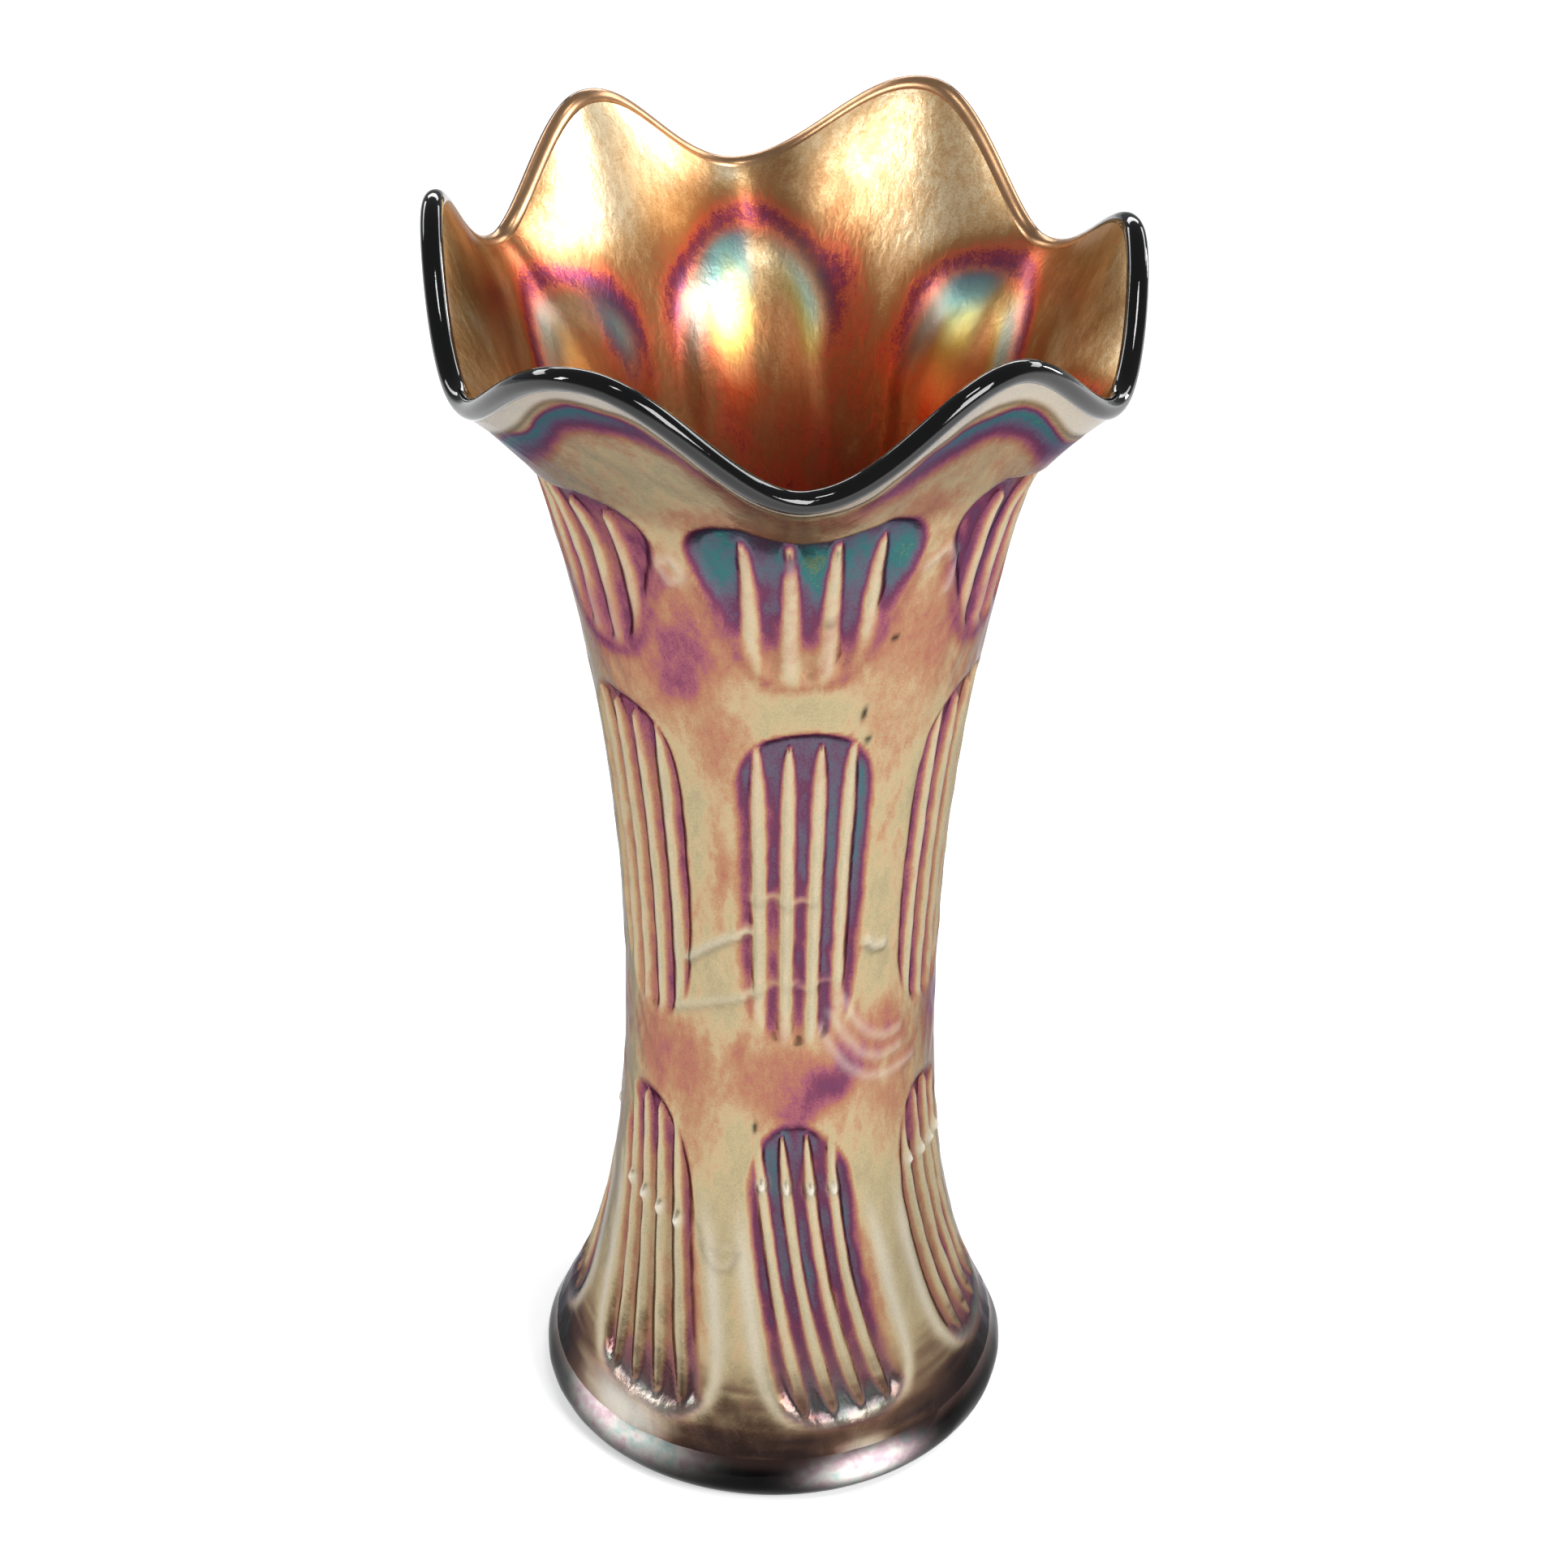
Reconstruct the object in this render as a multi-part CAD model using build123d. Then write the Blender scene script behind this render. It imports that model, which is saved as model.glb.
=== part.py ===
from build123d import *
from dataclasses import dataclass
import math
import os

# Ruffled lustre-glass vase: a solid foot, a waisted cup with two rows of moulded panels, a
# flared mouth with a third row, and the round bead of its six-lobed lip.
# Millimetres, +Z up, origin at the centre of the ring that the vase stands on.
# Angles are degrees round the vase from the front (-Y) towards the right (+X).

# Foot
FOOT_RADIUS = 45.3
FOOT_HEIGHT = 10.0
FOOT_EDGE_RADIUS = 5.0
FOOT_HOLLOW_RADIUS = 34.0
FOOT_HOLLOW_DEPTH = 1.5

# Outside of the wall: a straight tube, plus a swelling at the foot, plus a slow flare
TUBE_RADIUS = 26.15
FOOT_SWELL = 22.7
FOOT_SWELL_REACH = 35.3
FLARE_SWELL = 15.9
FLARE_POWER = 3.25
FLARE_REFERENCE_HEIGHT = 200.0
LEAN = 2.0
LEAN_HEIGHT = 190.0

# Inside of the wall
WALL = 3.5
WALL_EXTRA_AT_FLOOR = 1.6
WALL_EXTRA_REACH = 40.0
FLOOR_HEIGHT = 15.0
FLOOR_SECTIONS = ((0.0, 15.0), (1.6, 23.0), (4.6, 28.6))

# Mouth: where it is parted from the cup, where it starts to open, and the lip's crests and dips
MOUTH_JOINT_HEIGHT = 174.5
FLARE_START = 206.0
FLARE_RUN_OUT = 0.7
FLARE_RUN_UP = 0.8
BEAD_RADIUS = 1.9
BEAD_OPENING = 60.0
LIP = (  # angle, radius, height of the bead's centre
    (-23, 72.5, 250.0),
    (5, 65.0, 228.5),
    (36, 62.0, 243.0),
    (65, 61.5, 226.0),
    (92, 60.0, 243.5),
    (127, 59.0, 226.0),
    (153, 61.5, 247.5),
    (186, 63.0, 229.0),
    (216, 57.0, 248.5),
    (239, 56.0, 229.5),
    (275, 56.0, 251.0),
    (306, 61.5, 231.5),
)

# Panels: six to a row, each with grooves side by side and a rib left between neighbours
PANELS = 6
GROOVES = 5
PANEL_PITCH = 360.0 / PANELS
GROOVE_STATIONS = (0.0, 0.06, 0.25, 0.5, 0.75, 0.94, 1.0)
GROOVE_END_SIZE = 0.35
GROOVE_FULLNESS = 5  # how long a groove keeps its full size before its ends


@dataclass
class Row:
    """A row of panels: angles, heights and groove pitches at its low and high ends."""

    low_angle: float
    low_height: float
    low_rise: float  # how much higher the outermost grooves start
    low_pitch: float
    high_angle: float
    high_height: float
    high_rise: float  # how much higher the outermost grooves end
    high_pitch: float
    bow: float  # how far the grooves' middle stands to the left of a straight line
    groove_radius: float
    groove_depth: float


BOTTOM_ROW = Row(22.0, 15.0, 5.0, 8.2, 4.5, 79.0, -2.0, 8.4, 2.3, 2.0, 0.9)
MIDDLE_ROW = Row(6.0, 99.0, 9.0, 8.6, 6.0, 168.0, -3.0, 9.4, 0.0, 1.9, 0.9)
TOP_ROW = Row(5.0, 181.0, 7.0, 7.4, 5.0, 214.0, 3.0, 10.0, 0.0, 2.9, 1.3)

# Sections that the surfaces pass through
RING_POINTS = 72
OUTER_HEIGHTS = (10.0, 17.0, 26.0, 38.0, 54.0, 74.0, 96.0, 120.0, 144.0, 166.0, 186.0, 201.0)
INNER_HEIGHTS = (26.0, 38.0, 54.0, 74.0, 96.0, 120.0, 144.0, 166.0, 186.0, 201.0)
FLARE_STEPS = (0.15, 0.35, 0.55, 0.75, 0.9, 1.0)
BEAD_SECTIONS = 9
TANGENT_STEP = 0.1  # degrees either side
HALVINGS = 30  # when a height is looked up on the flare


def around(angle, radius, height, centre_x=0.0):
    """The point at an angle, radius and height, about an axis at centre_x."""
    turn = math.radians(angle)
    return Vector(centre_x + radius * math.sin(turn), -radius * math.cos(turn), height)


def lean_at(height):
    """How far the wall's centre has moved to the right at a height."""
    climbed = min(max((height - FOOT_HEIGHT) / LEAN_HEIGHT, 0.0), 1.0)
    return LEAN * (1 - (1 - climbed) ** 2)


def outer_radius(height):
    """The wall's outside radius below the mouth's opening."""
    swell = FOOT_SWELL * math.exp(-height / FOOT_SWELL_REACH)
    flare = FLARE_SWELL * (height / FLARE_REFERENCE_HEIGHT) ** FLARE_POWER
    return TUBE_RADIUS + swell + flare


def inner_radius(height):
    """The wall's inside radius below the mouth's opening."""
    extra = WALL_EXTRA_AT_FLOOR * math.exp(-(height - FLOOR_HEIGHT) / WALL_EXTRA_REACH)
    return outer_radius(height) - WALL - extra


def lip_point(angle):
    """The bead's centre: height eases from crest to dip, radius runs smoothly through them."""
    count = len(LIP)
    turned = (angle - LIP[0][0]) % 360 + LIP[0][0]
    index = max(i for i in range(count) if LIP[i][0] <= turned)
    knots = []
    for step in (-1, 0, 1, 2):
        laps, place = divmod(index + step, count)
        knots.append((LIP[place][0] + 360 * laps, LIP[place][1], LIP[place][2]))
    before, here, there, after = knots
    span = there[0] - here[0]
    u = (turned - here[0]) / span
    slope_here = (there[1] - before[1]) / (there[0] - before[0]) * span
    slope_there = (after[1] - here[1]) / (after[0] - here[0]) * span
    radius = (
        (2 * u**3 - 3 * u**2 + 1) * here[1]
        + (u**3 - 2 * u**2 + u) * slope_here
        + (3 * u**2 - 2 * u**3) * there[1]
        + (u**3 - u**2) * slope_there
    )
    height = here[2] + (there[2] - here[2]) * (1 - math.cos(math.pi * u)) / 2
    return around(angle, radius, height)


def flare_guide(start, end):
    """The point that a line up the flare heads for before it turns outwards."""
    reach = end - start
    return start + Vector(FLARE_RUN_OUT * reach.X, FLARE_RUN_OUT * reach.Y, FLARE_RUN_UP * reach.Z)


def flare_point(start, end, step):
    """A point on the curved line up the flare, from start (0) to end (1)."""
    guide = flare_guide(start, end)
    return start * (1 - step) ** 2 + guide * (2 * step * (1 - step)) + end * step**2


def bead_point(angle, around_bead):
    """A point on the bead; 0 degrees faces down the wall and 90 faces outwards."""
    centre = lip_point(angle)
    along = (lip_point(angle + TANGENT_STEP) - lip_point(angle - TANGENT_STEP)).normalized()
    start = around(angle, outer_radius(FLARE_START), FLARE_START, lean_at(FLARE_START))
    up = centre - flare_guide(start, centre)
    up = (up - along * up.dot(along)).normalized()
    out = along.cross(up).normalized()
    turn = math.radians(around_bead)
    return centre - up * (BEAD_RADIUS * math.cos(turn)) + out * (BEAD_RADIUS * math.sin(turn))


def ring(point_at):
    """A closed smooth wire through a point for every angle round the vase."""
    angles = [360.0 * i / RING_POINTS for i in range(RING_POINTS)]
    parameters = [i / RING_POINTS for i in range(RING_POINTS + 1)]
    return Wire([Edge.make_spline([point_at(a) for a in angles], periodic=True, parameters=parameters)])


def level_ring(radius, height):
    return ring(lambda angle: around(angle, radius, height, lean_at(height)))


def flare_ring(radius, bead_side, step):
    """A ring part of the way up one side of the flare."""

    def point_at(angle):
        start = around(angle, radius, FLARE_START, lean_at(FLARE_START))
        return flare_point(start, bead_point(angle, bead_side), step)

    return ring(point_at)


def lofted_face(rings):
    """The one closed face that runs smoothly through a list of rings."""
    return Shell.make_loft(rings).faces()[0]


def build_wall():
    """The cup and the mouth as one closed solid."""
    outer_rings = [level_ring(outer_radius(z), z) for z in OUTER_HEIGHTS]
    outer_rings += [flare_ring(outer_radius(FLARE_START), BEAD_OPENING, s) for s in FLARE_STEPS]
    inner_rings = [level_ring(radius, FLOOR_HEIGHT + rise) for rise, radius in FLOOR_SECTIONS]
    inner_rings += [level_ring(inner_radius(z), z) for z in INNER_HEIGHTS]
    inner_rings += [flare_ring(inner_radius(FLARE_START), -BEAD_OPENING, s) for s in FLARE_STEPS]
    outer = lofted_face(outer_rings)
    inner = lofted_face(inner_rings)
    edge_strip = lofted_face([outer_rings[-1], inner_rings[-1]])
    underside = Face(outer_rings[0])
    floor = Face(inner_rings[0])
    return Solid(Shell([outer, inner, edge_strip, underside, floor]))


def build_bead():
    """The lip's bead: most of a round rod, closed by the strip where it meets the wall."""
    full = 360.0 - 2 * BEAD_OPENING
    turns = [BEAD_OPENING + full * i / (BEAD_SECTIONS - 1) for i in range(BEAD_SECTIONS)]
    rings = [ring(lambda angle, turn=turn: bead_point(angle, turn)) for turn in turns]
    skin = lofted_face(rings)
    strip = lofted_face([rings[0], rings[-1]])
    return Solid(Shell([skin, strip]))


def build_foot():
    """A solid disc with a rounded lower edge and a shallow hollow underneath."""
    top_radius = outer_radius(FOOT_HEIGHT)
    top_slope = (outer_radius(FOOT_HEIGHT + 1) - top_radius, 1)
    flat_radius = FOOT_RADIUS - FOOT_EDGE_RADIUS
    diagonal = FOOT_EDGE_RADIUS * math.sin(math.radians(45))
    lowest = (flat_radius, 0)
    corner = (flat_radius + diagonal, FOOT_EDGE_RADIUS - diagonal)
    widest = (FOOT_RADIUS, FOOT_EDGE_RADIUS)
    top = (top_radius, FOOT_HEIGHT)
    with BuildPart() as foot:
        with BuildSketch(Plane.XZ):
            with BuildLine():
                Polyline(
                    top,
                    (0, FOOT_HEIGHT),
                    (0, FOOT_HOLLOW_DEPTH),
                    (FOOT_HOLLOW_RADIUS - FOOT_HOLLOW_DEPTH, FOOT_HOLLOW_DEPTH),
                    (FOOT_HOLLOW_RADIUS, 0),
                    lowest,
                )
                ThreePointArc(lowest, corner, widest)
                Spline(widest, top, tangents=((0, 1), top_slope))
            make_face()
        revolve(axis=Axis.Z)
    return foot.part


def wall_point(angle, height):
    """A point on the wall's outside, on the flare too."""
    if height <= FLARE_START:
        return around(angle, outer_radius(height), height, lean_at(height))
    start = around(angle, outer_radius(FLARE_START), FLARE_START, lean_at(FLARE_START))
    end = bead_point(angle, BEAD_OPENING)
    low, high = 0.0, 1.0
    for _ in range(HALVINGS):
        middle = (low + high) / 2
        if flare_point(start, end, middle).Z < height:
            low = middle
        else:
            high = middle
    return flare_point(start, end, low)


def groove_place(row, turn, offset, along):
    """The angle and height of a point along a groove, from its low end (0) to its high end (1)."""
    edge = (2 * offset / (GROOVES - 1)) ** 2
    low_height = row.low_height + row.low_rise * edge
    high_height = row.high_height + row.high_rise * edge
    low_angle = row.low_angle + offset * row.low_pitch
    high_angle = row.high_angle + offset * row.high_pitch
    bow = row.bow * 4 * along * (1 - along)
    angle = turn + low_angle + (high_angle - low_angle) * along - bow
    return angle, low_height + (high_height - low_height) * along


def groove_size(along):
    """A groove's size along its length: full, with rounded ends."""
    taper = math.sqrt(1 - abs(2 * along - 1) ** GROOVE_FULLNESS)
    return GROOVE_END_SIZE + (1 - GROOVE_END_SIZE) * taper


def groove_tool(row, panel, groove):
    """A rod with tapered ends that lies half sunk in the wall along one groove."""
    offset = groove - (GROOVES - 1) / 2
    turn = panel * PANEL_PITCH
    places = [groove_place(row, turn, offset, along) for along in GROOVE_STATIONS]
    points = [wall_point(angle, height) for angle, height in places]
    sections = []
    for index, along in enumerate(GROOVE_STATIONS):
        size = groove_size(along)
        ahead = points[min(index + 1, len(points) - 1)]
        behind = points[max(index - 1, 0)]
        direction = (ahead - behind).normalized()
        outwards = around(places[index][0], 1, 0)
        outwards = (outwards - direction * outwards.dot(direction)).normalized()
        centre = points[index] + outwards * (size * (row.groove_radius - row.groove_depth))
        plane = Plane(origin=centre, x_dir=outwards, z_dir=direction)
        sections.append(plane * Circle(size * row.groove_radius))
    return loft(sections)


def groove_tools(row):
    return [groove_tool(row, panel, groove) for panel in range(PANELS) for groove in range(GROOVES)]


def main():
    wall = build_wall()
    joint = Plane.XY.offset(MOUTH_JOINT_HEIGHT)
    body = wall.split(joint, keep=Keep.BOTTOM)
    mouth = wall.split(joint, keep=Keep.TOP)
    nodes = {
        "foot": build_foot(),
        "body": body - groove_tools(BOTTOM_ROW) - groove_tools(MIDDLE_ROW),
        "ruffled_mouth": mouth - groove_tools(TOP_ROW),
        "lip_bead": build_bead(),
    }
    os.makedirs("parts", exist_ok=True)
    for name, shape in nodes.items():
        export_step(shape, f"parts/{name}.step")
        print(name, round(shape.volume), "mm3")


main()
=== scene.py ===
import math
import bpy
import numpy as np
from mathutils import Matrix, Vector


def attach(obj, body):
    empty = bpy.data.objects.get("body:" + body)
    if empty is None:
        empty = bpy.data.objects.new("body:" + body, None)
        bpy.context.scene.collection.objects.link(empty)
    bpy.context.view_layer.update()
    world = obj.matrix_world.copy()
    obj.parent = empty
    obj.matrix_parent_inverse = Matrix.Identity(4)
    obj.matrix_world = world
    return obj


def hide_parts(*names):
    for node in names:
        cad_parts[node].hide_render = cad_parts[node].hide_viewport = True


# Ruffled lustre-glass vase. Sizes are in millimetres until add_piece() turns them into metres.
# Angles are degrees round the vase from the front (-Y) towards the right (+X).

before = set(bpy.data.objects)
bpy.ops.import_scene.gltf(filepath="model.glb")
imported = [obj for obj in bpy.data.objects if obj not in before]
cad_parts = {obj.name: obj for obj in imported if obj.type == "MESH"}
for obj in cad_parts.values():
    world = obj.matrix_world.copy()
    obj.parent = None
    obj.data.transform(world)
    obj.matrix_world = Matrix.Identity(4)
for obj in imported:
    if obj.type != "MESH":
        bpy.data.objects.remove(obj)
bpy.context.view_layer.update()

# ---------------------------------------------------------------- sizes, as in the CAD
FOOT_RADIUS = 45.3
FOOT_HEIGHT = 10.0
FOOT_EDGE_RADIUS = 5.0
FOOT_HOLLOW_RADIUS = 34.0
FOOT_HOLLOW_DEPTH = 1.5
FOOT_HOLLOW_RING = 16.0  # a ring of points in the hollow
FOOT_TOP_RING = 30.0  # a ring of points on the flat top, under the wall
TUBE_RADIUS = 26.15
FOOT_SWELL = 22.7
FOOT_SWELL_REACH = 35.3
FLARE_SWELL = 15.9
FLARE_POWER = 3.25
FLARE_REFERENCE_HEIGHT = 200.0
LEAN = 2.0
LEAN_HEIGHT = 190.0
WALL = 3.5
WALL_EXTRA_AT_FLOOR = 1.6
WALL_EXTRA_REACH = 40.0
FLOOR_HEIGHT = 15.0
FLOOR_RINGS = ((1.6, 23.0), (0.0, 15.0))  # height over the floor, radius
FLOOR_ROUNDING = 4.6
MOUTH_JOINT_HEIGHT = 174.5
FLARE_START = 206.0
FLARE_RUN_OUT = 0.7
FLARE_RUN_UP = 0.8
BEAD_RADIUS = 1.89  # 0.01 less than in the CAD, to stay inside its box
BEAD_OPENING = 60.0
LIP = np.array([  # angle, radius, height of the bead's centre
    (-23, 72.5, 250.0),
    (5, 65.0, 228.5),
    (36, 62.0, 243.0),
    (65, 61.5, 226.0),
    (92, 60.0, 243.5),
    (127, 59.0, 226.0),
    (153, 61.5, 247.5),
    (186, 63.0, 229.0),
    (216, 57.0, 248.5),
    (239, 56.0, 229.5),
    (275, 56.0, 251.0),
    (306, 61.5, 231.5),
])
PANEL_PITCH = 60.0
COLUMN_ANGLE = 6.0
MIDDLE_RIB_PITCH = 9.4  # degrees between the ribs of a panel
TOP_RIB_PITCH = 9.7
TOP_RIB_CENTRE = 6.1
BOTTOM_RIB_PITCH = 8.2
BOTTOM_RIB_SPREAD = 0.8  # how much wider the pitch grows up the bottom panels
KINK_PITCH = 8.6  # degrees between the bumps where the bottom ribs kinked
KINK_RISE = 0.9

# ---------------------------------------------------------------- how fine the meshes are
COLUMNS = 576
CUP_INNER_COLUMNS = 144
OUTER_CUP_ROWS = 160
INNER_CUP_ROWS = 36
NECK_ROWS = 26
FLARE_ROWS = 46
BEAD_COLUMNS = 720
BEAD_STEPS = 16
FOOT_COLUMNS = 360
FOOT_EDGE_STEPS = 12
CREASE_ROWS = 12  # rows above and below the start of the flare that are eased together
CREASE_PASSES = 60
METRES_PER_MM = 0.001


# ---------------------------------------------------------------- the vase's smooth shape
def unit(v):
    return v / np.linalg.norm(v, axis=-1, keepdims=True)


def around(angle, radius, height, centre_x=0.0):
    turn = np.radians(angle)
    x, y, z = np.broadcast_arrays(centre_x + radius * np.sin(turn), -radius * np.cos(turn), height)
    return np.stack([x, y, z], -1).astype(float)


def hermite(u, start, leave, end, arrive):
    """A smooth curve from start to end that sets out along leave and comes in along arrive."""
    return (
        (2 * u**3 - 3 * u**2 + 1) * start
        + (u**3 - 2 * u**2 + u) * leave
        + (3 * u**2 - 2 * u**3) * end
        + (u**3 - u**2) * arrive
    )


def lean_at(height):
    climbed = np.clip((height - FOOT_HEIGHT) / LEAN_HEIGHT, 0, 1)
    return LEAN * (1 - (1 - climbed) ** 2)


def outer_radius(height):
    at_foot = FOOT_SWELL * np.exp(-height / FOOT_SWELL_REACH)
    return TUBE_RADIUS + at_foot + FLARE_SWELL * (height / FLARE_REFERENCE_HEIGHT) ** FLARE_POWER


def inner_radius(height):
    extra = WALL_EXTRA_AT_FLOOR * np.exp(-(height - FLOOR_HEIGHT) / WALL_EXTRA_REACH)
    return outer_radius(height) - WALL - extra


def lip_point(angle):
    """The centre of the lip's bead: a smooth curve through the crests and dips."""
    lap = np.array([360.0, 0, 0])
    knots = np.vstack([LIP[-2:] - lap, LIP, LIP[:2] + lap])
    turned = (angle - LIP[0, 0]) % 360 + LIP[0, 0]
    index = np.searchsorted(knots[:, 0], turned, side="right") - 1
    before, here, there, after = (knots[index + k] for k in (-1, 0, 1, 2))
    span = there[..., 0] - here[..., 0]
    u = (turned - here[..., 0]) / span
    slope_here = (there[..., 1] - before[..., 1]) / (there[..., 0] - before[..., 0]) * span
    slope_there = (after[..., 1] - here[..., 1]) / (after[..., 0] - here[..., 0]) * span
    radius = hermite(u, here[..., 1], slope_here, there[..., 1], slope_there)
    height = here[..., 2] + (there[..., 2] - here[..., 2]) * (1 - np.cos(np.pi * u)) / 2
    return around(angle, radius, height)


def flare_guide(start, end):
    return start + (end - start) * np.array([FLARE_RUN_OUT, FLARE_RUN_OUT, FLARE_RUN_UP])


def bead_point(angle, turn):
    """Turn 0 faces down the wall and 90 outwards."""
    centre = lip_point(angle)
    along = unit(lip_point(angle + 0.1) - lip_point(angle - 0.1))
    start = around(angle, outer_radius(FLARE_START), FLARE_START, lean_at(FLARE_START))
    up = centre - flare_guide(start, centre)
    up = unit(up - along * np.sum(up * along, -1, keepdims=True))
    out = np.cross(along, up)
    turn = np.radians(turn)[..., None]
    return centre + BEAD_RADIUS * (out * np.sin(turn) - up * np.cos(turn))


def wall_grid(radius_at, bead_side, angles, heights, steps):
    """Rows of points up one side of the wall: level rings, then rings up the flare."""
    rings = heights[:, None]
    level = around(angles[None, :], radius_at(rings), rings, lean_at(rings))
    start = around(angles, radius_at(FLARE_START), FLARE_START, lean_at(FLARE_START))
    end = bead_point(angles, np.full(angles.shape, bead_side))
    step = steps[:, None, None]
    guide = flare_guide(start, end)
    flare = start * (1 - step) ** 2 + guide * (2 * step * (1 - step)) + end * step**2
    grid = np.concatenate([level, flare])
    first = len(heights) - 1 - CREASE_ROWS
    last = len(heights) + CREASE_ROWS
    for _ in range(CREASE_PASSES):
        eased = (grid[first - 1:last - 1] + 2 * grid[first:last] + grid[first + 1:last + 1]) / 4
        grid[first:last] = eased
    return grid


def grid_normals(points, flip=False):
    up = np.gradient(points, axis=0)
    across = np.roll(points, -1, 1) - np.roll(points, 1, 1)
    normal = unit(np.cross(across, up))
    return -normal if flip else normal


# ---------------------------------------------------------------- smooth random fields and marks
def wrap(angle):
    return (angle + 180) % 360 - 180


def ease(x):
    """0 below 0, 1 above 1, and smooth between."""
    x = np.clip(x, 0, 1)
    return x * x * (3 - 2 * x)


def bell(x, centre, width):
    """1 at the centre, falling off smoothly over the width."""
    return np.exp(-(((x - centre) / width) ** 2))


def blend(values, target, weight):
    return values + (target - values) * weight


def waves(seed, angle, height, across, tall, count=12):
    """A smooth field, about -1 to 1, that closes round the vase.
    Its waves are about as wide as across (degrees) and as high as tall (mm)."""
    rng = np.random.default_rng(seed)
    total = np.zeros(np.broadcast(angle, height).shape)
    for _ in range(count):
        turns = round(rng.normal(0, 360 / across))
        rise = rng.normal(0, 1 / tall)
        phase = rng.uniform(0, 2 * np.pi)
        total = total + np.sin(np.radians(turns * angle) + 2 * np.pi * rise * height + phase)
    return total / math.sqrt(count)


def blob(angle, height, place):
    """A soft spot: centre angle and height, half width (degrees), half height, lean (degrees per mm)."""
    a, z, wide, tall, lean = place
    along = height - z
    return np.exp(-((wrap(angle - a - lean * along) / wide) ** 2) - (along / tall) ** 2)


def mm_per_degree(height):
    return outer_radius(np.clip(height, 10, 215)) * math.pi / 180


def stroke(angle, height, points, width):
    """How close a place is to a line through points: 1 on the line, falling off over the width (mm)."""
    scale = mm_per_degree(height)
    best = np.full(angle.shape, 1e6)
    for (a0, z0), (a1, z1) in zip(points[:-1], points[1:]):
        dx = wrap(a1 - a0) * scale
        dz = z1 - z0
        px = wrap(angle - a0) * scale
        pz = height - z0
        t = np.clip((px * dx + pz * dz) / (dx * dx + dz * dz), 0, 1)
        best = np.minimum(best, np.hypot(px - t * dx, pz - t * dz))
    return bell(best, 0, width)


# ---------------------------------------------------------------- the three rows of moulded panels
def edge_distance(inside, angle, height):
    """Millimetres in from the outline, where inside() is 1."""
    a_step, z_step = 0.2, 0.25
    slope_a = (inside(angle + a_step, height) - inside(angle - a_step, height)) / (2 * a_step)
    slope_z = (inside(angle, height + z_step) - inside(angle, height - z_step)) / (2 * z_step)
    slope = np.hypot(slope_a / mm_per_degree(height), slope_z)
    return (1 - inside(angle, height)) / np.maximum(slope, 0.03)


def four_ribs(offset, pitch, size, plain_from=2.5):
    """Ribs: 1 on the crests of four ribs side by side, 0 in the grooves; size 1 is full width.
    Reach: 1 over the grooves, 0 on the plain banks that start plain_from ribs out."""
    nearest = np.clip(np.round(offset / pitch - 0.5) + 0.5, -1.5, 1.5) * pitch
    gap = np.abs(offset - nearest) / (pitch * 0.5 * np.maximum(size, 0.02))
    ribs = (0.5 + 0.5 * np.cos(np.pi * np.minimum(gap, 1))) * ease(size * 3)
    return ribs, ease((plain_from - np.abs(offset / pitch)) / 0.55)


def oval(past, reach):
    """1 until past is 0, then rounding off to 0 at reach."""
    return np.sqrt(1 - (np.clip(past, 0, reach) / reach) ** 2)


def outline(sideways, rise, width, above, below):
    """Less than 1 inside a rounded shape. Width, above and below: its reach and how square it is."""
    tall = np.where(rise > 0, np.abs(rise / above[0]) ** above[1], np.abs(rise / below[0]) ** below[1])
    return np.abs(sideways / width[0]) ** width[1] + tall


def middle_panel(angle, height, flare_step):
    def inside(a, z):
        return outline(wrap(a - COLUMN_ANGLE), z - 138, (23.4, 2.5), (30.5, 3.6), (41, 4))

    size = oval(height - 148, 17)
    distance = edge_distance(inside, angle, height)
    return distance, *four_ribs(wrap(angle - COLUMN_ANGLE), MIDDLE_RIB_PITCH, size)


def swung_centre(height):
    """The middle of the bottom row's ribs, which curve away because the glass was swung."""
    drop = 79 - height
    return 5.0 + 0.112 * drop + 0.00245 * drop * drop


def bottom_panel(angle, height, flare_step):
    def inside(a, z):
        sideways = wrap(a - 22 + 0.27 * (z - 15))
        return outline(sideways, z - 47, (23.6, 2.4), (33, 2.2), (32.5, 6.4))

    size = 0.9 * oval(height - 60, 17) * (0.15 + 0.85 * oval(30 - height, 12.5))
    pitch = BOTTOM_RIB_PITCH + BOTTOM_RIB_SPREAD * ease((height - 40) / 40)
    distance = edge_distance(inside, angle, height)
    return distance, *four_ribs(wrap(angle - swung_centre(height)), pitch, size)


def top_panel(angle, height, flare_step):
    """The fan: its upper edge follows the fold where the flare starts to open."""
    def inside(a, z):
        half_width = 17.5 + 9.5 * ease((z - 182) / 26)
        return outline(wrap(a - 5), z - 198, (half_width, 2.6), (19, 5), (19.5, 3))

    size = (1 - 0.2 * ease((height - 184) / 20)) * oval(height - 194, 17)
    fold = (0.24 - flare_step) * 55
    distance = np.minimum(edge_distance(inside, angle, height), fold)
    return distance, *four_ribs(wrap(angle - TOP_RIB_CENTRE), TOP_RIB_PITCH, size, 3.4)


PANELS = (  # shape, depth, width of the sloping bank, where the lustre's colour starts up the panel
    (middle_panel, 1.15, 3.0, 93),
    (bottom_panel, 1.25, 3.6, 1),
    (top_panel, 1.3, 3.4, 172),
)


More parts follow.
